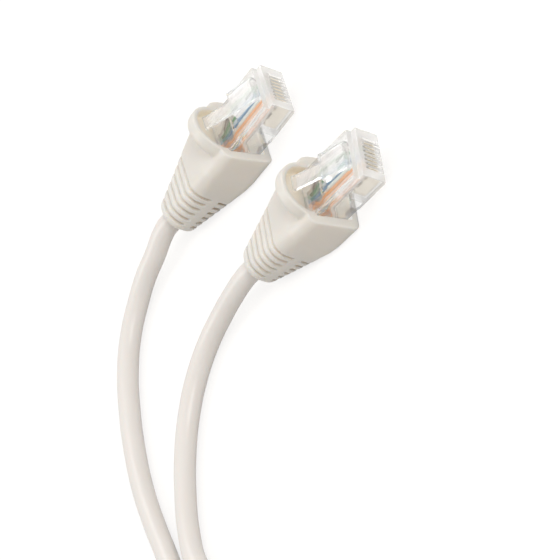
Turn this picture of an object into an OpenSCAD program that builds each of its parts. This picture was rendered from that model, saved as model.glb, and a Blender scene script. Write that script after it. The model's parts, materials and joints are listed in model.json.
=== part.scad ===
// Ethernet patch cable: two clear eight-way plugs with slip-on boots, joined by one metre of round cable.
// Both plugs lie on the floor with the latch up, and the spare cable is wound into a tied coil.
// Each end is drawn in its own frame: X towards the nose, Z towards the latch, the nose at the origin.

/* [Cable] */
// Outer diameter of the cable jacket
cord_d = 4.4; // [3.8:0.1:4.8]
// Diameter of one insulated wire
wire_d = 0.9; // [0.8:0.01:0.92]
// Diameter of the copper core of a wire
core_d = 0.48; // [0.3:0.02:0.6]
// How far behind the nose the jacket is stripped
strip_x = 16.5; // [15.5:0.5:18]

/* [Plug] */
// Width of the plug body across the contacts
plug_w = 11.68; // [11.4:0.02:12.2]
// Height of the plug body
plug_h = 6.6; // [6.4:0.1:7]
// Length of the plug body
plug_l = 21.46; // [20.5:0.02:23]
// Height of the lowered step at the nose
nose_h = 5.4; // [5.2:0.1:6]
// Length of the lowered step at the nose
nose_l = 1.3; // [1:0.1:1.4]
// Bevel along the long edges of the plug body
plug_bevel = 0.35; // [0.1:0.05:0.5]
// Height of the row of wires above the contact side
wire_z = 4.2; // [4.1:0.05:4.4]
// Height of the cable axis above the contact side
cord_z = 3.1; // [3:0.05:3.3]

/* [Contacts] */
// Distance between neighbouring contacts
pitch = 1.02; // [1:0.01:1.04]
// Thickness of one contact blade
blade_t = 0.35; // [0.25:0.01:0.4]
// Length of one contact blade
blade_l = 5.6; // [5:0.1:6]
// How far a blade lies back from the contact side
blade_z = 0.5; // [0.4:0.05:0.7]

/* [Latch] */
// Distance of the latch hinge behind the nose
hinge_x = 2; // [1.9:0.1:3]
// Slope of the resting latch
latch_slope = 18.5; // [17:0.5:19]
// Thickness of the latch
latch_t = 0.85; // [0.7:0.05:1]
// Width of the latch across its shoulders
shoulder_w = 6.1; // [5.5:0.1:6.4]
// Length of the shouldered part of the latch
shoulder_l = 5.8; // [5:0.1:6.5]
// Width of the lever behind the shoulders
lever_w = 3.3; // [2.8:0.1:3.8]
// Length of the latch from hinge to tip
latch_l = 12.4; // [11:0.1:12.6]

/* [Boot] */
// Distance from the nose to the boot's mouth
mouth_x = 11.2; // [10.8:0.1:12.5]
// Distance from the nose to the start of the taper
taper_x = 19.4; // [18.5:0.1:21]
// Distance from the nose to the boot's tail end
tail_x = 37; // [37:0.5:45]
// Width of the boot at its mouth
mouth_w = 16.6; // [15.6:0.1:17]
// Width of the boot at the start of its taper
waist_w = 16.2; // [15:0.1:16.4]
// Width of the boot at its tail end
tail_w = 8; // [8:0.1:10]
// Thickness of the boot under the plug
boot_floor = 1.4; // [1:0.05:2]
// Thickness of the boot over the plug
boot_roof = 1.9; // [1.7:0.05:2.2]
// Radius of the hood's arch
hood_r = 6.4; // [6.3:0.1:6.8]
// Wall of the hood's arch
hood_wall = 1.1; // [1:0.1:1.4]
// Distance from the nose to the hood's rim
hood_x = 13.5; // [12.8:0.1:14]
// Length of the hood
hood_l = 3.2; // [3:0.1:4.5]
// Number of grooves on the tail
grooves = 6; // [3:1:7]
// Distance between neighbouring grooves
groove_pitch = 1.83; // [1.6:0.01:1.9]
// Width of one groove
groove_w = 0.75; // [0.5:0.05:1]
// Depth of one groove
groove_depth = 0.8; // [0.5:0.05:1]
// Distance from the nose to the first groove
groove_x = 26; // [25.5:0.1:28]

/* [Coil] */
// Smallest radius of the coiled turns
coil_in_r = 17.5; // [16:0.1:19]
// Number of turns in both layers together
coil_turns = 4.625; // [4.625:1:5.625]
// Air between neighbouring turns
coil_air = 0.45; // [0.42:0.01:0.6]
// Thickness of a cable tie
tie_t = 0.6; // [0.4:0.1:0.8]
// Width of a cable tie
tie_w = 5; // [3:0.5:8]

/* [Fits] */
// Air around each plug in its boot
boot_fit = 0.25; // [0.15:0.05:0.3]
// Air between the cable and the boot's bore
bore_fit = 0.4; // [0.3:0.05:0.45]
// Air on each side of a blade in its slot
slot_fit = 0.05; // [0.03:0.01:0.08]
// Air round the latch knuckle in its groove
hinge_fit = 0.05; // [0.03:0.01:0.08]
// Air round the wires and the jacket in the plug
wire_fit = 0.06; // [0.04:0.01:0.1]
// Air between a tie and the coil
tie_fit = 0.05; // [0.03:0.01:0.1]

/* [Hidden] */
pins = 8;
cord_r = cord_d / 2;
half_w = plug_w / 2;
slop = 0.01;
// Colour of the insulation from pin 1 to pin 8
wire_names = ["white_orange", "orange", "white_green", "blue", "white_blue", "green", "white_brown", "brown"];
wire_colours = [
    [0.93, 0.72, 0.55], [0.93, 0.45, 0.12], [0.72, 0.86, 0.72], [0.15, 0.35, 0.68],
    [0.68, 0.78, 0.92], [0.2, 0.5, 0.25], [0.8, 0.7, 0.6], [0.36, 0.2, 0.12]
];
boot_colour = [0.86, 0.84, 0.79];
jacket_colour = [0.87, 0.83, 0.79];
tie_colour = [0.9, 0.89, 0.86];
clear_colour = [0.86, 0.9, 0.92, 0.45];
contact_colour = [0.86, 0.68, 0.3];
core_colour = [0.8, 0.45, 0.25];

// Where each nose lies on the floor, and how far each end is turned
nose_a = [9.4, 17.6];
nose_b = [26.8, -19.5];
turn_a = 0;
turn_b = -8.7;
// Height of the contact side over the floor, which the boot's underside touches
ride = boot_floor + boot_fit;

// Cavities of the plug, as distances behind the nose
nose_wall = 1.1;
channel_x = 11.4;
funnel_x = 13.5;
row_w = (pins - 1) * pitch + wire_d + 2 * wire_fit;
channel_low = wire_z - wire_d / 2 - wire_fit;
channel_high = wire_z + wire_d / 2 + wire_fit;
jacket_gap = cord_r + wire_fit;
jacket_room_w = 8.6;
// Wires leave the jacket in two staggered rows
row_step = wire_d + 0.02;
blade_x = 0.5;
blade_high = 3.2;
tooth_high = wire_z + 0.1;
tooth_w = 0.8;
tooth_places = [2.5, 4.9];
core_l = 8;
wire_sides = 12;

// Latch hinge
knuckle_r = 0.55;
hinge_z = plug_h + 0.3;
latch_low = 0.1;

// Boot sections
roof_z = plug_h + boot_fit + boot_roof;
tail_low = -1.2;
tail_high = 6.6;
hood_z = 7.3;
hood_round = 1.5;
hood_back = 0.9;
spine_low = 1.4;
spine_high = 3.1;
mouth_corner = 2.3;
foot_corner = 1.2;
tail_corner = 3.4;
end_round = 0.5;
section_t = 0.4;

// Coil: its middle on the floor, the step between turns and layers, and its heights
coil_at = [-29, -119.5];
coil_step = cord_d + coil_air;
coil_low = tie_t + tie_fit + cord_r;
coil_start = 180;
coil_rings = 24;
coil_sides = 6;
cord_sides = 10;
coil_sweep = 360 * coil_turns;
coil_mid = coil_sweep / 2;
coil_out_r = coil_in_r + coil_step * coil_mid / 360;
tie_places = [90, 270];

// Straight cable behind each boot, along which the boot slides back
straight_l = 3.5;
// Free stretches of the cable on the floor, from each boot to the coil
free_a = [
    [-37.3, 16.3, 3.7], [-42.2, 15.2, 3], [-46.8, 12.8, 2.4], [-51.6, 8.2, 2.2], [-55.4, 1.2, 2.2],
    [-58.1, -8.2, 2.2], [-59.6, -17.4, 2.2], [-60.2, -27, 2.2], [-59.7, -36.6, 2.2], [-58.6, -46.2, 2.2],
    [-57.8, -55.6, 2.2], [-57.5, -65.2, 2.2], [-57.5, -74.8, 2.2], [-57.5, -84.4, 2.2], [-57.5, -94, 2.2],
    [-57.5, -101.6, 2.3], [-57.5, -108.6, 2.6]
];
free_b = [
    [-18.6, -13, 4.1], [-24.7, -13, 3.1], [-31, -14.3, 2.4], [-36.8, -17.9, 2.2], [-41.9, -23.6, 2.2],
    [-45.8, -30.4, 2.2], [-48.9, -38.6, 2.2], [-50.9, -47.2, 2.2], [-51.1, -54.8, 2.2], [-48.5, -61.4, 2.2],
    [-43, -67, 2.2], [-36.2, -72.8, 2.3], [-29.4, -79.2, 2.9], [-22.8, -85.6, 4], [-16.8, -91.4, 5.7]
];

// Place of pin k across the plug: pin 1 lies on the -Y side
function pin_y(k) = (k - (pins + 1) / 2) * pitch;

// A point of one end's own frame, on the floor
function on_end(nose, turn, p) = [
    nose[0] + p[0] * cos(turn) - p[1] * sin(turn),
    nose[1] + p[0] * sin(turn) + p[1] * cos(turn),
    ride + p[2]
];

module on_floor(nose, turn) {
    translate([nose[0], nose[1], ride]) rotate([0, 0, turn]) children();
}

module end_a() {
    on_floor(nose_a, turn_a) children();
}

module end_b() {
    on_floor(nose_b, turn_b) children();
}

// A box from one corner to the opposite one
module block(low, high) {
    translate(low) cube(high - low);
}

// ---- swept tube ----

function unit(v) = v / norm(v);

function heading(p, i) =
    i == 0 ? unit(p[1] - p[0]) :
    i == len(p) - 1 ? unit(p[i] - p[i - 1]) :
    unit(unit(p[i + 1] - p[i]) + unit(p[i] - p[i - 1]));

// One ring of a tube that lies nearly level, with a corner straight down
function ring(at, way, r, sides) =
    let (side = unit(cross([0, 0, 1], way)), up = cross(way, side))
    [for (k = [0:sides - 1]) at + r * (sin(360 * k / sides) * side - cos(360 * k / sides) * up)];

function quads(rings, sides) = [
    for (i = [0:rings - 2], k = [0:sides - 1])
        let (a = i * sides + k, b = i * sides + (k + 1) % sides)
        each [[a, b, b + sides], [a, b + sides, a + sides]]
];

function fan(first, sides, flip) = [
    for (k = [1:sides - 2]) flip ? [first, first + k + 1, first + k] : [first, first + k, first + k + 1]
];

module tube(path, r, sides) {
    rings = len(path);
    points = [for (i = [0:rings - 1]) each ring(path[i], heading(path, i), r, sides)];
    faces = concat(quads(rings, sides), fan(0, sides, true), fan((rings - 1) * sides, sides, false));
    polyhedron(points = points, faces = faces, convexity = 10);
}

function path_length(p) = len(p) < 2 ? 0 : sum([for (i = [1:len(p) - 1]) norm(p[i] - p[i - 1])]);

function sum(v, i = 0) = i == len(v) ? 0 : v[i] + sum(v, i + 1);

// ---- cable ----

// Radius and height of the wound cable after a sweep of t degrees: in on the lower layer, out on the upper one
function coil_r(t) = coil_in_r + coil_step * abs(t - coil_mid) / 360;

function coil_z(t) = coil_low + coil_step * min(1, max(0, (t - coil_mid + 90) / 180));

function coil_point(t) = [
    coil_at[0] + coil_r(t) * cos(coil_start + t),
    coil_at[1] + coil_r(t) * sin(coil_start + t),
    coil_z(t)
];

function coil_way(t) = [-sin(coil_start + t), cos(coil_start + t), 0];

coil_steps = ceil(coil_turns * coil_rings);
coil_entry = coil_point(0) - cord_d * coil_way(0);
coil_exit = coil_point(coil_sweep) + cord_d * coil_way(coil_sweep);
coil_path = concat(
    [coil_entry],
    [for (i = [0:coil_steps]) coil_point(coil_sweep * i / coil_steps)],
    [coil_exit]
);
path_a = concat(
    [for (x = [strip_x, 24, 32, tail_x + straight_l]) on_end(nose_a, turn_a, [-x, 0, cord_z])],
    free_a,
    [coil_entry]
);
path_b = concat(
    [for (x = [strip_x, 24, 32, tail_x + straight_l]) on_end(nose_b, turn_b, [-x, 0, cord_z])],
    free_b,
    [coil_exit]
);

module cable_jacket_a() {
    color(jacket_colour) tube(path_a, cord_r, cord_sides);
}

module cable_jacket_b() {
    color(jacket_colour) tube(path_b, cord_r, cord_sides);
}

module cable_coil() {
    color(jacket_colour) tube(coil_path, cord_r, coil_sides);
}

// Radii of the turns that pass one side of the coil
function radii_at(side) = [
    for (k = [0:ceil(coil_turns)])
        let (t = (side - coil_start + 360) % 360 + 360 * k)
        if (t <= coil_sweep) coil_r(t)
];

// A thin band round the bundle of turns at one side of the coil
module coil_tie(side) {
    gap = cord_r + tie_fit;
    inner = min(radii_at(side)) - gap;
    outer = max(radii_at(side)) + gap;
    low = coil_low - gap;
    high = coil_low + coil_step + gap;
    bevel = 1.2;
    color(tie_colour)
        translate([coil_at[0], coil_at[1], 0]) rotate([0, 0, side])
            translate([0, tie_w / 2, 0]) rotate([90, 0, 0])
                linear_extrude(tie_w) difference() {
                    band([inner - tie_t, low - tie_t], [outer + tie_t, high + tie_t], bevel);
                    band([inner, low], [outer, high], bevel - tie_t / 2);
                }
}

module band(low, high, bevel) {
    polygon([
        [low[0] + bevel, low[1]], [high[0] - bevel, low[1]], [high[0], low[1] + bevel], [high[0], high[1] - bevel],
        [high[0] - bevel, high[1]], [low[0] + bevel, high[1]], [low[0], high[1] - bevel], [low[0], low[1] + bevel]
    ]);
}

// ---- plug ----

// Body outline seen from the front, with bevelled long edges
module body_outline(high) {
    b = plug_bevel;
    polygon([
        [-half_w + b, 0], [half_w - b, 0], [half_w, b], [half_w, high - b],
        [half_w - b, high], [-half_w + b, high], [-half_w, high - b], [-half_w, b]
    ]);
}

module body_bar(x0, x1, high) {
    translate([-x1, 0, 0]) rotate([90, 0, 90]) linear_extrude(x1 - x0) body_outline(high);
}

module plug_housing() {
    color(clear_colour) difference() {
        union() {
            body_bar(0, nose_l, nose_h);
            body_bar(nose_l, plug_l, plug_h);
        }
        // one flat channel for the row of wires, then the funnel and the jacket room
        block([-channel_x - slop, -row_w / 2, channel_low], [-nose_wall, row_w / 2, channel_high]);
        block([-funnel_x - slop, -row_w / 2, cord_z - 1.1], [-channel_x, row_w / 2, channel_high + 0.4]);
        block([-plug_l - slop, -jacket_room_w / 2, cord_z - jacket_gap], [-funnel_x, jacket_room_w / 2, cord_z + jacket_gap]);
        for (k = [1:pins]) translate([0, pin_y(k), 0]) blade_slot();
        // groove for the latch knuckle
        translate([-hinge_x, 0, hinge_z]) rotate([90, 0, 0])
            cylinder(h = shoulder_w + 1, r = knuckle_r + hinge_fit, center = true, $fn = 48);
        // pocket in front of the crimped strain relief bar, and the shallow one behind it
        block([-16, -3.6, -slop], [-15, 3.6, cord_z - jacket_gap + slop]);
        block([-19, -3.6, -slop], [-17.6, 3.6, cord_z - jacket_gap + slop]);
    }
}

module blade_slot() {
    block([-blade_x - blade_l - 0.3, -blade_t / 2 - slot_fit, -slop], [slop, blade_t / 2 + slot_fit, channel_low + slop]);
}

// One contact blade with two teeth that pierce the wire above it
module contact(k) {
    far = blade_x + blade_l;
    t = tooth_w / 2;
    color(contact_colour)
        translate([0, pin_y(k) + blade_t / 2, 0]) rotate([90, 0, 0]) linear_extrude(blade_t)
            polygon([
                [-blade_x, blade_z + 0.8], [-blade_x - 0.5, blade_z], [-far + 0.3, blade_z], [-far, blade_z + 0.3],
                [-far, blade_high], for (x = [tooth_places[1], tooth_places[0]]) each [
                    [-x - t, blade_high], [-x - t / 2, tooth_high], [-x + t / 2, tooth_high], [-x + t, blade_high]
                ],
                [-blade_x, blade_high]
            ]);
}

// Room that the teeth of a blade take in the wire above
module tooth_room(k) {
    for (x = tooth_places)
        translate([0, pin_y(k), 0])
            block([-x - tooth_w / 2 - slop, -blade_t / 2 - slop, blade_high], [-x + tooth_w / 2 + slop, blade_t / 2 + slop, tooth_high + slop]);
}

// One insulated wire: out of the jacket, spread to its pin, up into the row and forward to the nose wall
module wire(k) {
    lift = k % 2 == 0 ? row_step / 2 : -row_step / 2;
    start_y = (k - (pins + 1) / 2) * row_step / 2;
    path = [
        [-strip_x, start_y, cord_z + lift],
        [-strip_x + wire_d / 2, start_y, cord_z + lift],
        [-funnel_x + wire_d / 2, pin_y(k), cord_z + lift],
        [-channel_x - wire_d / 2, pin_y(k), wire_z],
        [-core_l - nose_wall - wire_d, pin_y(k), wire_z],
        [-nose_wall - slop, pin_y(k), wire_z]
    ];
    color(wire_colours[k - 1]) difference() {
        tube(path, wire_d / 2, wire_sides);
        translate([-nose_wall, pin_y(k), wire_z]) rotate([0, -90, 0])
            cylinder(h = core_l + 2 * slop, d = core_d + 2 * slop, $fn = 24);
        tooth_room(k);
    }
}

// The eight copper cores, from the cut front ends of the wires back past the teeth
module copper_cores() {
    color(core_colour) for (k = [1:pins]) difference() {
        translate([-nose_wall - slop, pin_y(k), wire_z]) rotate([0, -90, 0]) cylinder(h = core_l, d = core_d, $fn = 24);
        tooth_room(k);
    }
}

// Latch: a knuckle, a wide shouldered part and a narrow lever, rising to the rear
module plug_latch() {
    color(clear_colour) translate([-hinge_x, 0, hinge_z]) {
        rotate([90, 0, 0]) cylinder(h = shoulder_w - 0.4, r = knuckle_r, center = true, $fn = 48);
        rotate([0, latch_slope, 0]) {
            block([-shoulder_l, -shoulder_w / 2, -latch_low], [0, shoulder_w / 2, latch_t - latch_low]);
            block([-latch_l, -lever_w / 2, -latch_low], [-shoulder_l + slop, lever_w / 2, latch_t - latch_low]);
        }
    }
}

// ---- boot ----

// Size of the boot's taper at a distance behind the nose: half width, underside, top, and upper and lower corners
function taper(x) =
    let (s = max(0, (x - taper_x) / (tail_x - taper_x)))
    [
        waist_w / 2 + (tail_w - waist_w) / 2 * s,
        -ride + (tail_low + ride) * s,
        roof_z + (tail_high - roof_z) * s,
        mouth_corner + (tail_corner - mouth_corner) * s,
        foot_corner + (tail_corner - foot_corner) * s
    ];

// A thin slice across the boot with round corners, drawn in by a margin, for the hulls
module slice(x, half, t, margin = 0) {
    for (side = [-1, 1]) {
        translate([-x, side * (half - t[3]), t[2] - t[3]]) rotate([0, 90, 0])
            cylinder(h = section_t, r = t[3] - margin, $fn = 32);
        translate([-x, side * (half - t[4]), t[1] + t[4]]) rotate([0, 90, 0])
            cylinder(h = section_t, r = t[4] - margin, $fn = 32);
    }
}

// The flat outline of the tail at x, drawn in by one groove depth
module core_outline(x) {
    t = taper(x);
    half = t[0] - groove_depth;
    low = t[1] + groove_depth;
    high = t[2] - groove_depth;
    upper = t[3] - groove_depth;
    lower = t[4] - groove_depth;
    polygon([
        [-half + lower, low], [half - lower, low], [half, low + lower], [half, high - upper],
        [half - upper, high], [-half + upper, high], [-half, high - upper], [-half, low + lower]
    ]);
    for (side = [-1, 1]) {
        translate([side * (half - upper), high - upper]) circle(r = upper, $fn = 48);
        translate([side * (half - lower), low + lower]) circle(r = lower, $fn = 48);
    }
}

// Cutter for one groove: over the top and under the bottom, with a spine left on each side
module groove(x) {
    translate([-x - groove_w / 2, 0, 0]) rotate([90, 0, 90]) linear_extrude(groove_w) difference() {
        square([2 * waist_w, 4 * roof_z], center = true);
        core_outline(x);
        translate([-waist_w, spine_low]) square([2 * waist_w, spine_high - spine_low]);
    }
}

// Cutter that leans the mouth back from the underside to the hood's rim
module mouth_slope() {
    translate([0, waist_w, 0]) rotate([90, 0, 0]) linear_extrude(2 * waist_w)
        polygon([[-mouth_x, -ride - slop], [-hood_x, roof_z - 1], [-hood_x, roof_z + slop], [0, roof_z + slop], [0, -ride - slop]]);
}

module boot() {
    w = taper(taper_x);
    e = taper(tail_x);
    color(boot_colour) difference() {
        union() {
            hull() {
                slice(mouth_x + section_t, mouth_w / 2, w);
                slice(taper_x, w[0], w);
            }
            hull() {
                slice(taper_x, w[0], w);
                slice(tail_x - end_round, e[0], e);
                slice(tail_x, e[0], e, end_round);
            }
            translate([-hood_x, 0, hood_z]) rotate([0, -90, 0]) {
                cylinder(h = hood_l - hood_round, r = hood_r, $fn = 64);
                translate([0, 0, hood_l - hood_round])
                    cylinder(h = hood_round, r1 = hood_r, r2 = hood_r - hood_round, $fn = 64);
            }
        }
        // room for the plug, the latch lever under the hood, and the cable
        block(
            [-plug_l - boot_fit, -half_w - boot_fit, -boot_fit],
            [-mouth_x + slop, half_w + boot_fit, plug_h + boot_fit]
        );
        translate([-mouth_x, 0, hood_z]) rotate([0, -90, 0])
            cylinder(h = hood_x - mouth_x + hood_l - hood_back, r = hood_r - hood_wall, $fn = 64);
        block(
            [-hood_x - hood_l + hood_back + slop, -hood_r + hood_wall + slop, plug_h],
            [-mouth_x + slop, hood_r - hood_wall - slop, hood_z]
        );
        mouth_slope();
        translate([-plug_l, 0, cord_z]) rotate([0, -90, 0])
            cylinder(h = tail_x, r = cord_r + bore_fit, $fn = 48);
        for (i = [0:grooves - 1]) groove(groove_x + i * groove_pitch);
    }
}

// ---- the assembly ----

end_a() plug_housing();  // plug_housing_a
end_b() plug_housing();  // plug_housing_b
end_a() plug_latch();  // plug_latch_a
end_b() plug_latch();  // plug_latch_b
end_a() boot();  // boot_a
end_b() boot();  // boot_b
end_a() copper_cores();  // copper_cores_a
end_b() copper_cores();  // copper_cores_b
for (k = [1:pins]) {
    end_a() contact(k);
    end_b() contact(k);
    end_a() wire(k);
    end_b() wire(k);
}
cable_jacket_a();
cable_jacket_b();
cable_coil();
coil_tie(tie_places[0]);  // coil_tie_1
coil_tie(tie_places[1]);  // coil_tie_2

// Least air between turns of the coil: points more than half a turn apart
coil_gap = min([
    for (i = [0:len(coil_path) - 1], j = [i + coil_rings / 2:1:len(coil_path) - 1])
        norm(coil_path[i] - coil_path[j])
]) - cord_d;
echo(coil_self_gap = coil_gap);
echo(cable_length = path_length(path_a) + path_length(path_b) + path_length(coil_path));
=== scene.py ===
# %% [markdown]
# # Ethernet patch cable
# Two clear plugs with slip-on boots lie side by side, joined by one metre of round cable whose
# spare length is wound into a tied coil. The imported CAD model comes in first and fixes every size
# and place. Each cell then gives one piece its real form or finish on top of that frame.

# %% Load the frame
import json
import math

import bpy
from mathutils import Matrix, Vector

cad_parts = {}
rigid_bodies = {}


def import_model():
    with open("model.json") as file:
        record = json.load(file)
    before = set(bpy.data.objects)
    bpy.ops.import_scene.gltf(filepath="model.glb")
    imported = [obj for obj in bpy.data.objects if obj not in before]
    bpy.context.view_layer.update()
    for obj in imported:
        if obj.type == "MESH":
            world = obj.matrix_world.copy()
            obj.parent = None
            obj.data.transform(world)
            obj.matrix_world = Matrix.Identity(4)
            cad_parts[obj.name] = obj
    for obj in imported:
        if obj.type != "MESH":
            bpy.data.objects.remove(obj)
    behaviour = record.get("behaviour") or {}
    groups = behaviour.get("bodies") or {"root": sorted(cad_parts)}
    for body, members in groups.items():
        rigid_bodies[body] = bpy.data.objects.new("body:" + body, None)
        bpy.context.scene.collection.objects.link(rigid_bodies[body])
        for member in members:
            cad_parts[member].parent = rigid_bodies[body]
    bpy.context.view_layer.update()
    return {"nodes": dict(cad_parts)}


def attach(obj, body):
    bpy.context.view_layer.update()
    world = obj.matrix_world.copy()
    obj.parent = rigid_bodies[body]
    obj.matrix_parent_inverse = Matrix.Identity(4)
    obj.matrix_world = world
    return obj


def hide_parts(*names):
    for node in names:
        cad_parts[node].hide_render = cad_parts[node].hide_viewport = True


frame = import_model()
print("CAD nodes:", len(frame["nodes"]))

# %% [markdown]
# ## Sizes
# The plugs are modelled in millimetres in a frame of their own: X runs to the nose, Z to the latch,
# and the nose is at the origin. Modelling small things at 1 unit = 1 mm keeps every tool's
# tolerance far below the details. A finished mesh is then scaled to metres and set on the floor.

# %% Sizes and places
PINS = 8
PITCH = 1.02
PLUG_W, PLUG_H, PLUG_L = 11.68, 6.6, 21.46
RIDE = 1.65
CORD_R = 2.2
CORD_Z = 3.1
STRIP_X = 16.5
TAIL_X = 37.0
NOSE = {"a": (9.4, 17.6), "b": (26.8, -19.5)}
TURN = {"a": 0.0, "b": math.radians(-8.7)}


def end_matrix(end):
    """From one plug's millimetres to the shared frame's metres."""
    x, y = NOSE[end]
    place = Matrix.Translation((x, y, RIDE)) @ Matrix.Rotation(TURN[end], 4, "Z")
    return Matrix.Scale(0.001, 4) @ place


for end in "ab":
    print("nose", end, [round(v, 4) for v in end_matrix(end).translation])

# %% [markdown]
# ## Camera
# The view looks down at about 31 degrees from far away with a long lens, so the two plugs keep
# almost the same scale. The camera is rolled on its side, which makes the latches point left.
# Its three axes are given as a matrix, because that states the roll without any guesswork.

# %% Camera
right = Vector((0.5424, -0.2157, -0.8120))
up = Vector((0.6729, 0.6902, 0.2661))
back = Vector((0.5030, -0.6907, 0.5195))
bpy.ops.object.select_all(action="DESELECT")
bpy.ops.object.camera_add(location=(0.4366, -0.6289, 0.46085))
camera = bpy.context.object
camera.name = "camera"
camera.rotation_euler = Matrix((right, up, back)).transposed().to_euler()
camera.data.lens = 296.8
camera.data.sensor_width = 36
camera.data.clip_start = 0.05
camera.data.clip_end = 20
bpy.context.scene.camera = camera
print("camera", tuple(round(v, 3) for v in camera.location))

# %% [markdown]
# ## Floor, world and lamps
# A white sweep under soft light gives the plain white surroundings. The floor keeps the shadows,
# and a little extra light that only the camera, mirrors and clear plastic can see lifts the open
# floor to white. The sky is pure white where it is seen, and a little warmer and dimmer for the
# light that it casts. Three soft lamps stay at a level at which a colour renders about as it is
# written: a key lamp on the latch side, one behind that shines through the clear plastic, and one
# in front that lights the noses and the mouths of the boots.


# %% Floor and world
def new_material(name):
    """An empty node material with its output node."""
    mat = bpy.data.materials.new(name)
    mat.use_nodes = True
    mat.node_tree.nodes.clear()
    out = mat.node_tree.nodes.new("ShaderNodeOutputMaterial")
    return mat, mat.node_tree, out


def seen_directly(tree):
    """A value that is 1 for rays from the camera, from mirrors and through clear plastic."""
    path = tree.nodes.new("ShaderNodeLightPath")
    total = path.outputs["Is Camera Ray"]
    for name in ("Is Glossy Ray", "Is Transmission Ray"):
        add = tree.nodes.new("ShaderNodeMath")
        add.operation = "MAXIMUM"
        tree.links.new(total, add.inputs[0])
        tree.links.new(path.outputs[name], add.inputs[1])
        total = add.outputs[0]
    return total


FLOOR_SIZE, FLOOR_Z = 6, -0.0001
FLOOR_COLOUR = (0.52, 0.505, 0.485, 1)
SEEN_GLOW, SEEN_SHARE = 2.0, 0.38
SKY_TINT, SKY_CAST, SKY_SEEN = (1, 0.975, 0.945, 1), 0.59, 1.0
WHITE = (1, 1, 1, 1)

bpy.ops.mesh.primitive_plane_add(size=FLOOR_SIZE, location=(0, 0, FLOOR_Z))
floor = bpy.context.object
floor.name = "floor"
floor_mat, tree, out = new_material("white_sweep")
diffuse = tree.nodes.new("ShaderNodeBsdfDiffuse")
diffuse.inputs["Color"].default_value = FLOOR_COLOUR
glow = tree.nodes.new("ShaderNodeEmission")
glow.inputs["Color"].default_value = WHITE
glow.inputs["Strength"].default_value = SEEN_GLOW
share = tree.nodes.new("ShaderNodeMath")
share.operation = "MULTIPLY"
share.inputs[1].default_value = SEEN_SHARE
both = tree.nodes.new("ShaderNodeMixShader")
tree.links.new(seen_directly(tree), share.inputs[0])
tree.links.new(share.outputs[0], both.inputs[0])
tree.links.new(diffuse.outputs[0], both.inputs[1])
tree.links.new(glow.outputs[0], both.inputs[2])
tree.links.new(both.outputs[0], out.inputs["Surface"])
floor.data.materials.append(floor_mat)

scene = bpy.context.scene
scene.view_settings.view_transform = "Standard"
world = bpy.data.worlds.new("soft_white")
scene.world = world
world.use_nodes = True
sky = world.node_tree.nodes["Background"]
warm = world.node_tree.nodes.new("ShaderNodeMix")
warm.data_type = "RGBA"
warm.inputs[6].default_value = SKY_TINT
warm.inputs[7].default_value = WHITE
world.node_tree.links.new(seen_directly(world.node_tree), warm.inputs["Factor"])
world.node_tree.links.new(warm.outputs[2], sky.inputs["Color"])
strength = world.node_tree.nodes.new("ShaderNodeMapRange")
strength.inputs["To Min"].default_value = SKY_CAST
strength.inputs["To Max"].default_value = SKY_SEEN
world.node_tree.links.new(seen_directly(world.node_tree), strength.inputs["Value"])
world.node_tree.links.new(strength.outputs[0], sky.inputs["Strength"])
print("floor and world ready")


# %% Lamps
def soft_lamp(name, place, size, power):
    """A square lamp that faces the middle of the scene."""
    bpy.ops.object.light_add(type="AREA", location=place)
    lamp = bpy.context.object
    lamp.name = name
    lamp.data.size = size
    lamp.data.energy = power
    lamp.rotation_euler = (-Vector(place)).to_track_quat("-Z", "Y").to_euler()


soft_lamp("key_lamp", (-0.58, 0.08, 0.74), 0.4, 1.7)
soft_lamp("back_lamp", (0.12, 0.75, 0.72), 0.4, 1.5)
soft_lamp("fill_lamp", (0.9, -0.45, 0.6), 0.5, 5.0)
print("lamps ready")
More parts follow.
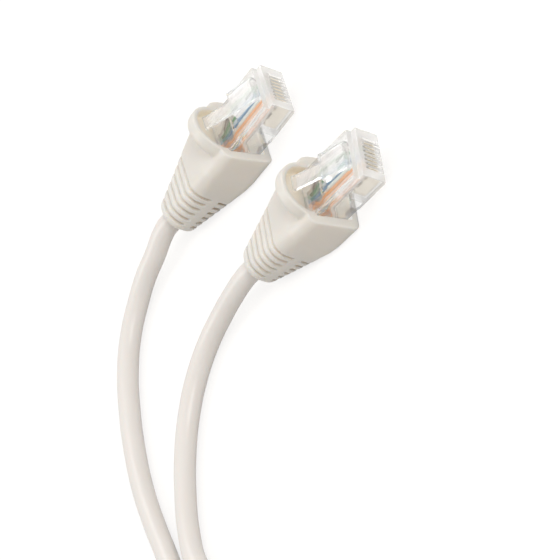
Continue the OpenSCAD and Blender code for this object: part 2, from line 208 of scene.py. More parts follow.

# %% [markdown]
# ## Moulded plastic
# Moulded plastic is never one flat colour. A faint cloud of slightly different tint, a gloss that
# varies a little, and a very fine bump make it read as a real surface. The same effects suit every
# plastic and metal of this cable, so they live in one node group, and each finish sets its own
# amounts. The boots get two finishes more for their inside: a lighter one with a weak glow, painted
# light that stands for light soaking through the wall, and a darker, browner one under the hood,
# which is painted shade. A stored depth paints a warm brown shade into the floors of the grooves,
# fading out towards the top of the boot.


# %% Moulded finish group
def moulded_group():
    """Colour, roughness and height that vary over a moulded surface."""
    group = bpy.data.node_groups.new("moulded_finish", "ShaderNodeTree")
    face = group.interface
    face.new_socket("Vector", in_out="INPUT", socket_type="NodeSocketVector")
    amounts = {"Cloud Scale": 120.0, "Cloud Amount": 0.04, "Grain Scale": 3000.0, "Roughness": 0.4}
    for name, value in amounts.items():
        socket = face.new_socket(name, in_out="INPUT", socket_type="NodeSocketFloat")
        socket.default_value = value
    for name in ("Light Colour", "Dark Colour"):
        face.new_socket(name, in_out="INPUT", socket_type="NodeSocketColor")
    face.new_socket("Color", in_out="OUTPUT", socket_type="NodeSocketColor")
    face.new_socket("Roughness", in_out="OUTPUT", socket_type="NodeSocketFloat")
    face.new_socket("Height", in_out="OUTPUT", socket_type="NodeSocketFloat")
    nodes, links = group.nodes, group.links
    ins, outs = nodes.new("NodeGroupInput"), nodes.new("NodeGroupOutput")
    cloud, grain = nodes.new("ShaderNodeTexNoise"), nodes.new("ShaderNodeTexNoise")
    cloud.inputs["Detail"].default_value = 3
    grain.inputs["Detail"].default_value = 2
    links.new(ins.outputs["Vector"], cloud.inputs["Vector"])
    links.new(ins.outputs["Vector"], grain.inputs["Vector"])
    links.new(ins.outputs["Cloud Scale"], cloud.inputs["Scale"])
    links.new(ins.outputs["Grain Scale"], grain.inputs["Scale"])
    mix = nodes.new("ShaderNodeMix")
    mix.data_type = "RGBA"
    links.new(cloud.outputs["Fac"], mix.inputs["Factor"])
    links.new(ins.outputs["Dark Colour"], mix.inputs[6])
    links.new(ins.outputs["Light Colour"], mix.inputs[7])
    links.new(mix.outputs[2], outs.inputs["Color"])
    centre = nodes.new("ShaderNodeMath")
    centre.operation = "SUBTRACT"
    centre.inputs[1].default_value = 0.5
    links.new(cloud.outputs["Fac"], centre.inputs[0])
    spread = nodes.new("ShaderNodeMath")
    spread.operation = "MULTIPLY_ADD"
    links.new(centre.outputs[0], spread.inputs[0])
    links.new(ins.outputs["Cloud Amount"], spread.inputs[1])
    links.new(ins.outputs["Roughness"], spread.inputs[2])
    links.new(spread.outputs[0], outs.inputs["Roughness"])
    links.new(grain.outputs["Fac"], outs.inputs["Height"])
    return group


MOULDED = moulded_group()
GRAIN, GRAIN_SHARE, GRAIN_HEIGHT = 3000.0, 0.1, 0.00005


def moulded_material(name, light, dark, roughness, cloud=120.0, vary=0.15):
    """A plastic whose tint, gloss and grain vary softly."""
    mat, tree, out = new_material(name)
    coords = tree.nodes.new("ShaderNodeTexCoord")
    finish = tree.nodes.new("ShaderNodeGroup")
    finish.node_tree = MOULDED
    finish.inputs["Cloud Scale"].default_value = cloud
    finish.inputs["Cloud Amount"].default_value = vary
    finish.inputs["Grain Scale"].default_value = GRAIN
    finish.inputs["Roughness"].default_value = roughness
    finish.inputs["Light Colour"].default_value = (*light, 1)
    finish.inputs["Dark Colour"].default_value = (*dark, 1)
    relief = tree.nodes.new("ShaderNodeBump")
    relief.inputs["Strength"].default_value = GRAIN_SHARE
    relief.inputs["Distance"].default_value = GRAIN_HEIGHT
    shader = tree.nodes.new("ShaderNodeBsdfPrincipled")
    tree.links.new(coords.outputs["Object"], finish.inputs["Vector"])
    tree.links.new(finish.outputs["Color"], shader.inputs["Base Color"])
    tree.links.new(finish.outputs["Roughness"], shader.inputs["Roughness"])
    tree.links.new(finish.outputs["Height"], relief.inputs["Height"])
    tree.links.new(relief.outputs["Normal"], shader.inputs["Normal"])
    tree.links.new(shader.outputs[0], out.inputs["Surface"])
    return mat, shader


def soften(shader, weight, radius, scale):
    """Let light soak a little way into the plastic."""
    shader.inputs["Subsurface Weight"].default_value = weight
    shader.inputs["Subsurface Radius"].default_value = radius
    shader.inputs["Subsurface Scale"].default_value = scale


def dress(piece, *finishes):
    """Give a piece its finishes and nothing else."""
    piece.data.materials.clear()
    for finish in finishes:
        piece.data.materials.append(finish)


boot_mat, boot_shader = moulded_material(
    "boot_plastic", (0.81, 0.78, 0.73), (0.78, 0.745, 0.69), 0.42,
)
soften(boot_shader, 0.6, (1.0, 0.8, 0.6), 0.003)
boot_tree = boot_mat.node_tree
# Painted shade: a warm brown is mixed into the boot's colour where the stored groove value is set.
depth = boot_tree.nodes.new("ShaderNodeAttribute")
depth.attribute_name = "groove_depth"
shade = boot_tree.nodes.new("ShaderNodeMix")
shade.data_type = "RGBA"
shade.inputs[7].default_value = (0.62, 0.51, 0.40, 1)
boot_tree.links.new(boot_shader.inputs["Base Color"].links[0].from_socket, shade.inputs[6])
boot_tree.links.new(depth.outputs["Fac"], shade.inputs["Factor"])
boot_tree.links.new(shade.outputs[2], boot_shader.inputs["Base Color"])
# Painted shade: the inside of the hood is a darker, browner copy of the boot plastic.
hood_shade_mat, hood_shade_shader = moulded_material(
    "hood_inside_painted_shade", (0.76, 0.67, 0.58), (0.74, 0.64, 0.54), 0.45,
)
# Painted light: the room round the plug is a lighter copy of the boot plastic, with a weak glow that
# stands for light soaking through the wall.
inner_lit_mat, inner_lit_shader = moulded_material(
    "boot_inside_painted_light", (0.95, 0.88, 0.80), (0.93, 0.85, 0.76), 0.45,
)
for shader in (hood_shade_shader, inner_lit_shader):
    soften(shader, 1.0, (1.0, 0.8, 0.6), 0.008)
inner_lit_shader.inputs["Emission Color"].default_value = (1, 0.93, 0.85, 1)
inner_lit_shader.inputs["Emission Strength"].default_value = 0.25
jacket_mat, jacket_shader = moulded_material(
    "jacket_plastic", (0.85, 0.815, 0.78), (0.83, 0.79, 0.75), 0.34, cloud=80.0, vary=0.08,
)
soften(jacket_shader, 0.2, (1.0, 0.7, 0.55), 0.001)
tie_mat = moulded_material("tie_plastic", (0.78, 0.77, 0.74), (0.73, 0.72, 0.68), 0.5)[0]
print("plastics:", boot_mat.name, jacket_mat.name, tie_mat.name)

# %% [markdown]
# ## The cable
# The cable is one metre of round cable, 4.4 mm across, that starts in one plug and ends in the
# other. It runs along the floor in loose curves, and its spare length is wound in two layers, in on
# the lower one and out on the upper one, so that both ends leave the coil on its outside. A Bezier
# curve with automatic handles through the route's points bends smoothly as a real cable does.

# %% Route of the cable
FREE_A = [
    (-37.3, 16.3, 3.7), (-42.2, 15.2, 3), (-46.8, 12.8, 2.4), (-51.6, 8.2, 2.2),
    (-55.4, 1.2, 2.2), (-58.1, -8.2, 2.2), (-59.6, -17.4, 2.2), (-60.2, -27, 2.2),
    (-59.7, -36.6, 2.2), (-58.6, -46.2, 2.2), (-57.8, -55.6, 2.2), (-57.5, -65.2, 2.2),
    (-57.5, -74.8, 2.2), (-57.5, -84.4, 2.2), (-57.5, -94, 2.2), (-57.5, -101.6, 2.3),
    (-57.5, -108.6, 2.6),
]
FREE_B = [
    (-18.6, -13, 4.1), (-24.7, -13, 3.1), (-31, -14.3, 2.4), (-36.8, -17.9, 2.2),
    (-41.9, -23.6, 2.2), (-45.8, -30.4, 2.2), (-48.9, -38.6, 2.2), (-50.9, -47.2, 2.2),
    (-51.1, -54.8, 2.2), (-48.5, -61.4, 2.2), (-43, -67, 2.2), (-36.2, -72.8, 2.3),
    (-29.4, -79.2, 2.9), (-22.8, -85.6, 4), (-16.8, -91.4, 5.7),
]
COIL_AT = (-29, -119.5)
COIL_IN_R, COIL_TURNS, COIL_STEP, COIL_LOW = 17.5, 4.625, 4.85, 2.85
COIL_RINGS = 24


def coil_point(turn):
    """A point of the wound cable after some turns: inwards below, outwards above."""
    middle = COIL_TURNS / 2
    radius = COIL_IN_R + COIL_STEP * abs(turn - middle)
    angle = math.radians(180 + 360 * turn)
    climb = min(1, max(0, (turn - middle + 0.25) / 0.5))
    x, y = COIL_AT
    return (x + radius * math.cos(angle), y + radius * math.sin(angle), COIL_LOW + COIL_STEP * climb)


def in_plug(end, x):
    """A point of the cable's straight start, behind one nose."""
    return tuple(1000 * v for v in end_matrix(end) @ Vector((-x, 0, CORD_Z)))


starts = (STRIP_X, 24, 32, TAIL_X + 1.5, TAIL_X + 3.5)
coil_count = math.ceil(COIL_TURNS * COIL_RINGS)
route = [in_plug("a", x) for x in starts] + FREE_A
route += [coil_point(COIL_TURNS * i / coil_count) for i in range(coil_count + 1)]
route += FREE_B[::-1] + [in_plug("b", x) for x in starts[::-1]]
print("route points:", len(route))

# %% Cable piece
bpy.ops.object.select_all(action="DESELECT")
bpy.ops.curve.primitive_bezier_curve_add()
cable = bpy.context.object
cable.name = "cable"
spline = cable.data.splines[0]
spline.bezier_points.add(len(route) - 2)
for knot, point in zip(spline.bezier_points, route):
    knot.co = Vector(point) / 1000
    knot.handle_left_type = knot.handle_right_type = "AUTO"
cable.data.dimensions = "3D"
cable.data.resolution_u = 6
cable.data.bevel_depth = CORD_R / 1000
cable.data.bevel_resolution = 5
cable.data.use_fill_caps = True
cable.data.materials.append(jacket_mat)
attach(cable, "cable")
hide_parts("cable_jacket_a", "cable_jacket_b", "cable_coil")
ties = [bpy.data.objects[name] for name in ("coil_tie_1", "coil_tie_2")]
for tie in ties:
    dress(tie, tie_mat)
print("cable made")

# %% [markdown]
# ## The boots
# Each boot is one soft moulding: a squarish collar round the plug, an arched hood that shelters the
# latch lever, and a tapering tail with six grooves that let it bend. It is built as a maker would
# carve it: a lofted body, a hood joined on, then rooms and grooves cut away. A fine voxel remesh and
# a few rounds of smoothing then melt all the parts into one skin with soft moulded edges.


# %% Modelling helpers
def start(name):
    """Name the new primitive and give it an unturned, unscaled mesh."""
    piece = bpy.context.object
    piece.name = name
    bpy.ops.object.transform_apply(location=True, rotation=True, scale=True)
    return piece


def box(name, low, high):
    """A block between two corners, for joining or cutting."""
    bpy.ops.object.select_all(action="DESELECT")
    middle = [(a + b) / 2 for a, b in zip(low, high)]
    size = [b - a for a, b in zip(low, high)]
    bpy.ops.mesh.primitive_cube_add(size=1, location=middle, scale=size)
    return start(name)


def barrel(name, radius, x_front, x_back, y, z, sides=64):
    """A round bar along the plug's length."""
    bpy.ops.object.select_all(action="DESELECT")
    bpy.ops.mesh.primitive_cylinder_add(
        vertices=sides, radius=radius, depth=x_front - x_back,
        location=((x_front + x_back) / 2, y, z), rotation=(0, math.pi / 2, 0),
    )
    return start(name)


def apply_all(piece):
    """Apply every modifier of a piece, in order."""
    bpy.ops.object.select_all(action="DESELECT")
    piece.select_set(True)
    bpy.context.view_layer.objects.active = piece
    for mod in list(piece.modifiers):
        bpy.ops.object.modifier_apply(modifier=mod.name)


def combine(piece, other, operation, solver="EXACT"):
    """Join, cut or intersect with another shape, which is used up."""
    mod = piece.modifiers.new(operation.lower(), "BOOLEAN")
    mod.operation = operation
    mod.solver = solver
    mod.object = other
    apply_all(piece)
    bpy.data.objects.remove(other, do_unlink=True)


def set_on_floor(piece, end):
    """Scale a finished mesh to metres and lay it where one plug lies."""
    piece.data.transform(end_matrix(end))
    piece.data.update()


def twin(piece, name):
    """A copy with a mesh of its own."""
    copy = piece.copy()
    copy.data = piece.data.copy()
    copy.name = name
    bpy.context.collection.objects.link(copy)
    return copy


print("helpers ready")

# %% Boot body
MOUTH_X, HOOD_X, TAPER_X = 11.2, 13.5, 19.4
CLEAR, ROOF_WALL = 0.25, 1.9
ROOF_Z = PLUG_H + CLEAR + ROOF_WALL
SECTIONS = [
    (MOUTH_X, 8.3, -RIDE, ROOF_Z, 2.3, 1.2),
    (TAPER_X - 1.5, 8.15, -RIDE, ROOF_Z, 2.3, 1.2),
    (TAPER_X + 1.0, 7.85, -RIDE + 0.03, ROOF_Z - 0.1, 2.4, 1.4),
    (28.0, 6.05, -RIDE + 0.2, 7.65, 2.85, 2.2),
    (TAIL_X - 1.0, 4.15, -1.25, 6.65, 3.4, 3.3),
    (TAIL_X - 0.25, 3.9, -1.0, 6.4, 3.2, 3.1),
    (TAIL_X, 3.4, -0.5, 5.9, 2.9, 2.8),
]


def section_points(half, low, high, top_corner, foot_corner):
    """48 points round a box section with round corners, anticlockwise from the right foot."""
    corners = [
        (half - foot_corner, low + foot_corner, foot_corner, -90),
        (half - top_corner, high - top_corner, top_corner, 0),
        (-half + top_corner, high - top_corner, top_corner, 90),
        (-half + foot_corner, low + foot_corner, foot_corner, 180),
    ]
    points = []
    for y, z, radius, first in corners:
        for i in range(12):
            angle = math.radians(first + 90 * i / 11)
            points.append((y + radius * math.cos(angle), z + radius * math.sin(angle)))
    return points


def loft(name, sections, shrink=0.0):
    """Extrude a ring from section to section and fit each new ring to its section."""
    bpy.ops.object.select_all(action="DESELECT")
    bpy.ops.mesh.primitive_circle_add(
        vertices=48, radius=1, fill_type="NGON", rotation=(0, math.pi / 2, 0),
    )
    piece = start(name)
    for number, (x, half, low, high, top, foot) in enumerate(sections):
        if number:
            bpy.ops.object.mode_set(mode="EDIT")
            bpy.ops.mesh.extrude_region_move(TRANSFORM_OT_translate={"value": (-1, 0, 0)})
            bpy.ops.object.mode_set(mode="OBJECT")
        ring = [v for v in piece.data.vertices if v.select]
        ring.sort(key=lambda v: v.index)
        spots = section_points(
            half - shrink, low + shrink, high - shrink, top - shrink, foot - shrink,
        )
        for vert, (y, z) in zip(ring, spots):
            vert.co = (-x, y, z)
    bpy.ops.object.mode_set(mode="EDIT")
    bpy.ops.mesh.select_all(action="SELECT")
    bpy.ops.mesh.normals_make_consistent(inside=False)
    bpy.ops.object.mode_set(mode="OBJECT")
    return piece


boot = loft("boot_form", SECTIONS)
print("boot body faces:", len(boot.data.polygons))

# %% Hood over the latch lever
HOOD_R, HOOD_Z, HOOD_L = 6.4, 7.3, 3.2
hood = barrel("hood", HOOD_R, -HOOD_X, -HOOD_X - HOOD_L, 0, HOOD_Z, 96)
bpy.ops.object.mode_set(mode="EDIT")
bpy.ops.mesh.select_all(action="DESELECT")
bpy.ops.object.mode_set(mode="OBJECT")
for edge in hood.data.edges:
    ends = [hood.data.vertices[i].co.x for i in edge.vertices]
    edge.select = all(x < -HOOD_X - HOOD_L + 0.01 for x in ends)
bpy.ops.object.mode_set(mode="EDIT")
bpy.ops.mesh.select_mode(type="EDGE")
bpy.ops.mesh.bevel(offset=1.5, segments=6)
bpy.ops.object.mode_set(mode="OBJECT")
combine(boot, hood, "UNION")
print("hood joined")

# %% Rooms inside the boot
LEAN_TOP = ROOF_Z - 1
wedge = box("mouth_lean", (-HOOD_X, -10, -RIDE), (0, 10, LEAN_TOP))
for vert in wedge.data.vertices:
    vert.co.z = LEAN_TOP if vert.co.z > 0 else -RIDE
    if vert.co.x < -HOOD_X + 0.01 and vert.co.z < 0:
        vert.co.x = -MOUTH_X
HOOD_WALL, HOOD_BACK, BORE_GAP = 1.1, 0.9, 0.3
room_w, room_end = PLUG_W / 2 + CLEAR, -HOOD_X - HOOD_L + HOOD_BACK
floor_w = HOOD_R - HOOD_WALL - 0.01
rooms = [
    wedge,
    box("mouth_top", (-HOOD_X, -10, LEAN_TOP), (0, 10, ROOF_Z + 0.01)),
    box("plug_room", (-PLUG_L - CLEAR, -room_w, -CLEAR), (-5, room_w, PLUG_H + CLEAR)),
    barrel("lever_room", HOOD_R - HOOD_WALL, -5, room_end, 0, HOOD_Z, 96),
    box("lever_floor", (room_end, -floor_w, PLUG_H), (-5, floor_w, HOOD_Z)),
    barrel("bore", CORD_R + BORE_GAP, -PLUG_L, -TAIL_X - 2, 0, CORD_Z),
]
for room in rooms:
    combine(boot, room, "DIFFERENCE")
print("rooms cut")

# %% Grooves of the tail
GROOVE_X, GROOVE_STEP, GROOVE_W = 26.0, 1.83, 0.75
for number in range(6):
    x = -GROOVE_X - number * GROOVE_STEP
    for low, high, depth in ((3.1, 12, 0.65), (-4, 1.4, 1.15)):
        groove = box("groove", (x - GROOVE_W / 2, -9, low), (x + GROOVE_W / 2, 9, high))
        combine(groove, loft("core", SECTIONS, depth), "DIFFERENCE", "FAST")
        combine(boot, groove, "DIFFERENCE")
print("boot faces with grooves:", len(boot.data.polygons))


# %% One soft skin
def smooth_skin(piece, rounds, group=""):
    """Smooth a skin, all over or where a vertex group says."""
    mod = piece.modifiers.new("soften", "SMOOTH")
    mod.factor = 0.5
    mod.iterations = rounds
    mod.vertex_group = group
    apply_all(piece)


skin = boot.modifiers.new("skin", "REMESH")
skin.mode = "VOXEL"
skin.voxel_size = 0.2
skin.use_smooth_shade = True
apply_all(boot)
smooth_skin(boot, 4)
front = boot.vertex_groups.new(name="front")
front.add([v.index for v in boot.data.vertices if v.co.x > -19], 1.0, "REPLACE")
smooth_skin(boot, 4, "front")
boot.vertex_groups.clear()
print("boot skin faces:", len(boot.data.polygons))


# %% Depth below the boot's outer skin
def section_at(x):
    """The boot's section at a place along it, between the listed ones."""
    for near, far in zip(SECTIONS, SECTIONS[1:]):
        if x <= far[0]:
            share = max(0, (x - near[0]) / (far[0] - near[0]))
            return [a + (b - a) * share for a, b in zip(near, far)]
    return SECTIONS[-1]


def depth_below(co):
    """How far a point lies inside the outer skin."""
    x, half, low, high, top, foot = section_at(-co.x)
    middle, tall = (low + high) / 2, (high - low) / 2
    corner = top if co.z > middle else foot
    side = abs(co.y) - half + corner
    rise = abs(co.z - middle) - tall + corner
    return corner - math.hypot(max(side, 0), max(rise, 0)) - min(max(side, rise), 0)


def room_of(co):
    """The boot's finish: 0 outside, 1 the plug's room, painted light, 2 under the hood, painted
    shade.
    """
    if co.x < -PLUG_L:
        return 0
    if abs(co.y) < 6.2 and -0.35 < co.z < 6.6:
        return 1
    under_hood = co.z > 6.5 and co.x > -HOOD_X - HOOD_L + 0.6
    return 2 if under_hood and math.hypot(co.y, co.z - HOOD_Z) < HOOD_R - 0.95 else 0


# Painted shade in the grooves: set deeper than 0.35 below the skin, fading out towards the boot's
# top.
groove_shade_marks = boot.data.attributes.new("groove_depth", "FLOAT", "POINT")
for vert in boot.data.vertices:
    if vert.co.x < -25:
        side = min(1, max(0, (7.2 - vert.co.z) / 2.5))
        groove_shade_marks.data[vert.index].value = side * min(1, max(0, (depth_below(vert.co) - 0.35) / 0.6))
print("deepest:", round(max(depth_below(v.co) for v in boot.data.vertices), 2))

# %% Finish the boots
boot.name = "boot_shell_a"
dress(boot, boot_mat, inner_lit_mat, hood_shade_mat)
for face in boot.data.polygons:
    face.material_index = room_of(face.center)
boots = {"a": boot, "b": twin(boot, "boot_shell_b")}
for end, piece in boots.items():
    set_on_floor(piece, end)
    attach(piece, "boot_" + end)
    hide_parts("boot_" + end)
print("boot triangles:", 2 * len(boot.data.polygons))

# %% [markdown]
# ## Clear plug
# The plug and its latch are clear polycarbonate. A transmitting shader with the plastic's own
# index of refraction bends the view of the wires as the real plug does, and a trace of haze keeps
# it from looking like empty glass. Four grades of it are made: clear for the body, one for the
# latch, a hazy one for the nose and a frosted one for the sides by the contacts. Shadow rays, and
# rays that have already bounced inside a few times, pass straight through, so the wires stay lit
# and the inner walls don't turn black.


# %% Clear plastic
def clear_plastic(name, clearness, bend, solid_share, roughness):
    """A see-through plastic whose gloss and tint vary a little."""
    mat, tree, out = new_material(name)
    coords = tree.nodes.new("ShaderNodeTexCoord")
    finish = tree.nodes.new("ShaderNodeGroup")
    finish.node_tree = MOULDED
    finish.inputs["Cloud Scale"].default_value = 250
    finish.inputs["Cloud Amount"].default_value = 0.05
    finish.inputs["Grain Scale"].default_value = 1500
    finish.inputs["Roughness"].default_value = roughness
    finish.inputs["Light Colour"].default_value = (0.99, 0.99, 0.985, 1)
    finish.inputs["Dark Colour"].default_value = (0.97, 0.97, 0.965, 1)
    shader = tree.nodes.new("ShaderNodeBsdfPrincipled")
    shader.inputs["Transmission Weight"].default_value = clearness
    shader.inputs["IOR"].default_value = bend
    path = tree.nodes.new("ShaderNodeLightPath")
    soft_ray, deep, let_by, solid = (tree.nodes.new("ShaderNodeMath") for _ in range(4))
    soft_ray.operation = let_by.operation = "MAXIMUM"
    deep.operation = "MULTIPLY"
    deep.inputs[1].default_value = 0.45
    deep.use_clamp = True
    solid.operation = "MULTIPLY_ADD"
    solid.inputs[1].default_value = -0.9 * solid_share
    solid.inputs[2].default_value = solid_share
    tree.links.new(path.outputs["Is Shadow Ray"], soft_ray.inputs[0])
    tree.links.new(path.outputs["Is Diffuse Ray"], soft_ray.inputs[1])
    tree.links.new(path.outputs["Ray Depth"], deep.inputs[0])
    tree.links.new(deep.outputs[0], let_by.inputs[0])
    tree.links.new(soft_ray.outputs[0], let_by.inputs[1])
    tree.links.new(let_by.outputs[0], solid.inputs[0])
    tree.links.new(solid.outputs[0], shader.inputs["Alpha"])
    tree.links.new(coords.outputs["Object"], finish.inputs["Vector"])
    tree.links.new(finish.outputs["Color"], shader.inputs["Base Color"])
    tree.links.new(finish.outputs["Roughness"], shader.inputs["Roughness"])
    tree.links.new(shader.outputs[0], out.inputs["Surface"])
    return mat


clear_mat = clear_plastic("clear_plastic", 0.9, 1.46, 1.0, 0.05)
latch_mat = clear_plastic("latch_plastic", 0.84, 1.46, 1.0, 0.06)
hazy_mat = clear_plastic("hazy_plastic", 0.42, 1.4, 0.85, 0.12)
side_mat = clear_plastic("frosted_plastic", 0.75, 1.44, 0.85, 0.1)
print("clear plastics ready")


# %% Plug body
def slab(name, profile, y_low, y_high):
    """Extrude a side profile, given as (x, z) points, across the plug."""
    bpy.ops.object.select_all(action="DESELECT")
    bpy.ops.mesh.primitive_circle_add(
        vertices=len(profile), radius=1, fill_type="NGON", rotation=(math.pi / 2, 0, 0),
    )
    piece = start(name)
    for vert, (x, z) in zip(piece.data.vertices, profile):
        vert.co = (x, y_low, z)
    bpy.ops.object.mode_set(mode="EDIT")
    bpy.ops.mesh.select_all(action="SELECT")
    bpy.ops.mesh.extrude_region_move(TRANSFORM_OT_translate={"value": (0, y_high - y_low, 0)})
    bpy.ops.mesh.select_all(action="SELECT")
    bpy.ops.mesh.normals_make_consistent(inside=False)
    bpy.ops.object.mode_set(mode="OBJECT")
    return piece


def round_edges(piece, width, segments=2):
    """Round every sharp edge of a piece a little."""
    mod = piece.modifiers.new("edges", "BEVEL")
    mod.width = width
    mod.segments = segments
    mod.limit_method = "ANGLE"
    mod.angle_limit = math.radians(35)
    apply_all(piece)


def weld(piece, gap=0.003):
    """Merge points that lie on top of each other and drop faces without an area."""
    bpy.ops.object.select_all(action="DESELECT")
    piece.select_set(True)
    bpy.context.view_layer.objects.active = piece
    bpy.ops.object.mode_set(mode="EDIT")
    bpy.ops.mesh.select_all(action="SELECT")
    bpy.ops.mesh.remove_doubles(threshold=gap)
    bpy.ops.mesh.dissolve_degenerate(threshold=gap)
    bpy.ops.object.mode_set(mode="OBJECT")


HALF_W = PLUG_W / 2
NOSE_H, NOSE_L = 5.4, 1.3
ROW = PINS * PITCH / 2
plug = slab("plug_form", [
    (0, 0.15), (0, NOSE_H), (-NOSE_L, NOSE_H), (-NOSE_L, PLUG_H), (-PLUG_L, PLUG_H),
    (-PLUG_L, 0.2), (-9.1, 0.2), (-8.5, 0), (-0.15, 0),
], -HALF_W, HALF_W)
round_edges(plug, 0.2)
print("plug body faces:", len(plug.data.polygons))


# %% Rooms inside the plug
def pin_y(pin):
    """How far a pin lies from the middle of the plug, pin 1 on the near side."""
    return (pin - (PINS + 1) / 2) * PITCH


HINGE_X, HINGE_Z = -2.0, PLUG_H + 0.3
KNUCKLE_R, KNUCKLE_GAP = 0.55, 0.05


def hinge_circle(radius):
    """24 points round the latch's hinge line."""
    turns = [math.radians(15 * i) for i in range(24)]
    return [(HINGE_X + radius * math.cos(a), HINGE_Z + radius * math.sin(a)) for a in turns]


rooms = [
    slab("channel", [(-1.1, 3.69), (-1.1, 4.71), (-11.5, 4.71), (-11.5, 3.69)], -ROW, ROW),
    slab(
        "funnel", [(-11.4, 3.69), (-11.4, 4.71), (-14.2, 5.3), (-14.2, 0.9)],
        -ROW - 0.1, ROW + 0.1,
    ),
    box("jacket_room", (-PLUG_L - 1, -4.3, 0.84), (-14.1, 4.3, 5.36)),
    slab(
        "bar_pocket", [(-7.6, -1), (-7.6, 2.5), (-8.2, 2.5), (-9.6, 0.9), (-9.6, -1)],
        -4.4, 4.4,
    ),
    box("jacket_bar_pocket", (-16.2, -3.6, -1), (-15, 3.6, 0.9)),
    box("lever_recess", (-11.3, -2.7, 5.9), (-9.3, 2.7, 8)),
    slab("hollow", hinge_circle(KNUCKLE_R + KNUCKLE_GAP), -3.55, 3.55),
]
for pin in range(1, PINS + 1):
    y = pin_y(pin)
    rooms.append(box("slot", (-6.4, y - 0.22, -1), (1, y + 0.22, 3.72)))
    rooms.append(box("comb", (-0.4, y - 0.19, -1), (1, y + 0.19, 4.4)))
for room in rooms:
    combine(plug, room, "DIFFERENCE")
weld(plug)
print("plug faces:", len(plug.data.polygons))

# %% Finish the plug
SIDE_END = -6.7
bpy.ops.object.select_all(action="DESELECT")
plug.select_set(True)
bpy.context.view_layer.objects.active = plug
bpy.ops.object.mode_set(mode="EDIT")
bpy.ops.mesh.select_all(action="SELECT")
bpy.ops.mesh.bisect(plane_co=(SIDE_END, 0, 0), plane_no=(1, 0, 0))
bpy.ops.object.mode_set(mode="OBJECT")
plug.name = "plug_shell_a"
plugs = {"a": plug, "b": twin(plug, "plug_shell_b")}
for end, piece in plugs.items():
    dress(piece, clear_mat, hazy_mat, side_mat)
    for face in piece.data.polygons:
        at_nose = face.center.x > -NOSE_L - 0.05
        on_side = face.center.x > SIDE_END and abs(face.center.y) > HALF_W - 0.25
        face.material_index = 1 if at_nose else 2 if on_side else 0
    set_on_floor(piece, end)
    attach(piece, "cable")
    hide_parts("plug_housing_" + end)
print("plugs finished")

# %% [markdown]
# ## Latch
# The latch is a springy tongue that grows from a thin root near the nose. Its wide part ends in a
# thick shoulder that locks behind the lip of the jack, and a narrow finger lever goes on from there
# into the boot's hood. It is drawn as two side profiles in the tongue's own direction.

# %% Latch piece
LATCH_SLOPE = math.radians(18.5)
SHOULDER_W, LEVER_W = 6.1, 3.3


def along_latch(s, t):
    """A point at a distance along the tongue and above it, as (x, z) of the plug."""
    x = HINGE_X - s * math.cos(LATCH_SLOPE) + t * math.sin(LATCH_SLOPE)
    return (x, HINGE_Z + s * math.sin(LATCH_SLOPE) + t * math.cos(LATCH_SLOPE))


WIDE_PART = [
    (-0.1, -0.1), (-0.1, 0.5), (4.2, 0.72), (5.8, 0.75), (5.8, -0.8), (4.6, -0.8), (2.4, -0.15),
]
LEVER_PART = [
    (5.2, -0.7), (5.2, 0.0), (11.4, 0.5), (12.0, 0.72), (12.4, 0.72), (12.4, -0.1), (11.2, -0.2),
]
wide = [along_latch(s, t) for s, t in WIDE_PART]
narrow = [along_latch(s, t) for s, t in LEVER_PART]
latch = slab("latch_form", wide, -SHOULDER_W / 2, SHOULDER_W / 2)
lever = slab("lever", narrow, -LEVER_W / 2, LEVER_W / 2)
knuckle_w = SHOULDER_W / 2 - 0.2
knuckle = slab("knuckle", hinge_circle(KNUCKLE_R), -knuckle_w, knuckle_w)
combine(latch, lever, "UNION")
round_edges(latch, 0.12)
combine(latch, knuckle, "UNION")
weld(latch)
latch.name = "latch_piece_a"
for end, piece in {"a": latch, "b": twin(latch, "latch_piece_b")}.items():
    dress(piece, latch_mat, hazy_mat)
    for face in piece.data.polygons:
        # Painted highlight: the faces behind the shoulder that look backwards get the hazy plastic,
        # so they show white.
        step_highlight = face.center.x < along_latch(5.4, 0)[0] and face.normal.x < -0.6
        face.material_index = int(step_highlight)
    set_on_floor(piece, end)
    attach(piece, "latch_" + end)
    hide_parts("plug_latch_" + end)
print("latch faces:", len(latch.data.polygons))

# %% [markdown]
# ## Metal and wires
# The contacts are gold-plated blades, their gold lightened towards white and only half metallic,
# which is painted light. The cores are bare copper. The insulation of the eight wires is thin glossy
# plastic: four plain colours, and four white ones with a stripe of their partner's colour.


# %% Contacts and cores
def metal_material(name, colour, roughness, metal=1.0):
    """A metal whose tint and gloss vary in fine spots."""
    mat, tree, out = new_material(name)
    coords = tree.nodes.new("ShaderNodeTexCoord")
    finish = tree.nodes.new("ShaderNodeGroup")
    finish.node_tree = MOULDED
    finish.inputs["Cloud Scale"].default_value = 900
    finish.inputs["Cloud Amount"].default_value = 0.2
    finish.inputs["Roughness"].default_value = roughness
    finish.inputs["Light Colour"].default_value = (*colour, 1)
    finish.inputs["Dark Colour"].default_value = (*(0.9 * c for c in colour), 1)
    shader = tree.nodes.new("ShaderNodeBsdfPrincipled")
    shader.inputs["Metallic"].default_value = metal
    tree.links.new(coords.outputs["Object"], finish.inputs["Vector"])
    tree.links.new(finish.outputs["Color"], shader.inputs["Base Color"])
    tree.links.new(finish.outputs["Roughness"], shader.inputs["Roughness"])
    tree.links.new(shader.outputs[0], out.inputs["Surface"])
    return mat


# Painted light: real gold plating, lightened towards white and only half metallic so the contacts
# show bright.
gold_and_light_mat = metal_material("gold_plate_and_painted_light", (0.98, 0.90, 0.75), 0.38, 0.45)
copper_mat = metal_material("bare_copper", (0.85, 0.48, 0.3), 0.3)
for end in "ab":
    for pin in range(1, PINS + 1):
        dress(bpy.data.objects[f"contact_{pin}_{end}"], gold_and_light_mat)
    dress(bpy.data.objects["copper_cores_" + end], copper_mat)
print("metals ready")

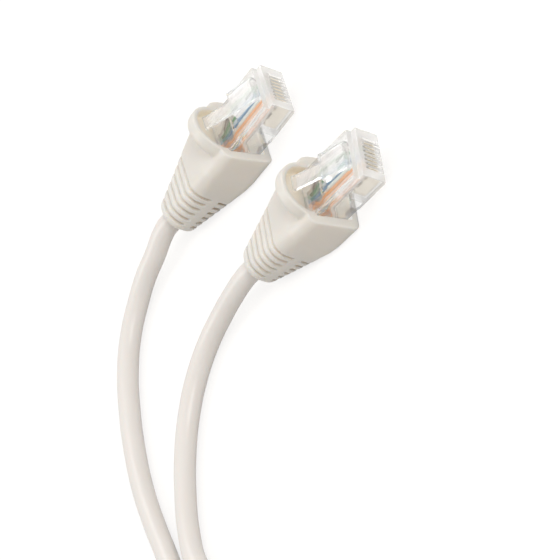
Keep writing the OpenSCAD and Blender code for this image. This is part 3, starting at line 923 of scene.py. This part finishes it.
# %% Insulation finish
WIRES = {
    "white_orange": ((0.90, 0.80, 0.74), (0.87, 0.52, 0.33), 0.3),
    "orange": ((0.88, 0.36, 0.08), None, 0),
    "white_green": ((0.80, 0.86, 0.82), (0.06, 0.30, 0.10), 0.75),
    "blue": ((0.04, 0.21, 0.42), None, 0),
    "white_blue": ((0.68, 0.77, 0.83), (0.05, 0.2, 0.5), 0.6),
    "green": ((0.05, 0.28, 0.08), None, 0),
    "white_brown": ((0.82, 0.77, 0.72), (0.2, 0.08, 0.04), 0.5),
    "brown": ((0.13, 0.05, 0.02), None, 0),
}


def stripe(tree, shader, colour, side):
    """Draw one line of another colour along a wire, by its place round the wire."""
    place = tree.nodes.new("ShaderNodeUVMap")
    split = tree.nodes.new("ShaderNodeSeparateXYZ")
    inside = tree.nodes.new("ShaderNodeMath")
    inside.operation = "COMPARE"
    inside.inputs[1].default_value = side
    inside.inputs[2].default_value = 0.09
    mix = tree.nodes.new("ShaderNodeMix")
    mix.data_type = "RGBA"
    mix.inputs[7].default_value = (*colour, 1)
    plain = shader.inputs["Base Color"].links[0].from_socket
    tree.links.new(place.outputs["UV"], split.inputs[0])
    tree.links.new(split.outputs["Y"], inside.inputs[0])
    tree.links.new(inside.outputs[0], mix.inputs["Factor"])
    tree.links.new(plain, mix.inputs[6])
    tree.links.new(mix.outputs[2], shader.inputs["Base Color"])


insulation = {}
for name, (colour, line, side) in WIRES.items():
    dark = tuple(0.85 * c for c in colour)
    mat, shader = moulded_material(
        "insulation_" + name, colour, dark, 0.33, cloud=600.0, vary=0.08,
    )
    if line:
        stripe(mat.node_tree, shader, line, side)
    insulation[name] = mat
print("insulation finishes:", len(insulation))

# %% Wires
WIRE_R, WIRE_Z, ROW_STEP = 0.5, 4.2, 1.02


def wire_points(pin):
    """The way of one wire: out of the jacket, spread to its pin, up into the row and forward."""
    lift = ROW_STEP / 2 if pin % 2 == 0 else -ROW_STEP / 2
    start_y = (pin - (PINS + 1) / 2) * ROW_STEP / 2
    y = pin_y(pin)
    return [
        (-STRIP_X, start_y, CORD_Z + lift), (-STRIP_X + 1, start_y, CORD_Z + lift),
        (-13.4, y, CORD_Z + lift), (-11.6, y, WIRE_Z), (-9.5, y, WIRE_Z), (-1.15, y, WIRE_Z),
    ]


def wire_piece(name, points):
    """A round wire on a smooth curve through points, as a mesh with its own UV map."""
    bpy.ops.object.select_all(action="DESELECT")
    bpy.ops.curve.primitive_bezier_curve_add()
    piece = bpy.context.object
    piece.name = name
    spline = piece.data.splines[0]
    spline.bezier_points.add(len(points) - 2)
    for knot, point in zip(spline.bezier_points, points):
        knot.co = point
        knot.handle_left_type = knot.handle_right_type = "AUTO"
    piece.data.dimensions = "3D"
    piece.data.resolution_u = 6
    piece.data.bevel_depth = WIRE_R
    piece.data.bevel_resolution = 3
    piece.data.use_fill_caps = True
    bpy.ops.object.convert(target="MESH")
    return bpy.context.object


for pin, name in enumerate(WIRES, 1):
    wire = wire_piece(f"insulated_{name}_a", wire_points(pin))
    bpy.ops.object.shade_smooth_by_angle(angle=math.radians(40))
    for end, piece in {"a": wire, "b": twin(wire, f"insulated_{name}_b")}.items():
        set_on_floor(piece, end)
        dress(piece, insulation[name])
        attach(piece, "cable")
        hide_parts(f"wire_{name}_{end}")
print("wires:", 2 * len(WIRES), "UV maps:", len(wire.data.uv_layers))
